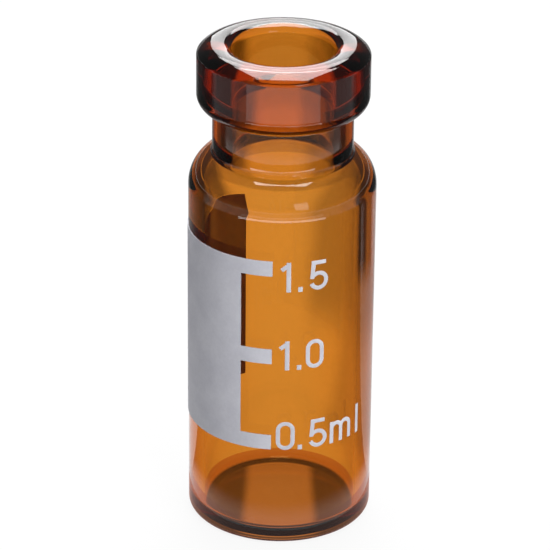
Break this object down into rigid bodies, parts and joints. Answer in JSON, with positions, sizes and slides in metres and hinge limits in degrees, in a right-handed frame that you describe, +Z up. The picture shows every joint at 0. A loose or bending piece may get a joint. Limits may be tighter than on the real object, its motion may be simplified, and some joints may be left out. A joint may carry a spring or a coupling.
{
  "type": "glass sample vial",
  "caption": "Small open amber glass vial with a crimp head, a narrow neck and a pale fired write-on patch with graduation bars.",
  "frame": {"origin": "middle of the resting ring, on the surface that the vial stands on", "axes": "+Z up along the vial's axis to its mouth; the front, where the patch's edge and bars are, faces -Y"},
  "size_m": [0.0117, 0.0117, 0.0318],
  "materials": {
    "amber_glass": "smooth, fire-polished amber tube glass",
    "fired_enamel": "matt pale grey-white enamel, screen-printed and fired on"
  },
  "bodies": {
    "root": {"glass_vial": "amber_glass", "write_on_patch": "fired_enamel"}
  },
  "joints": []
}
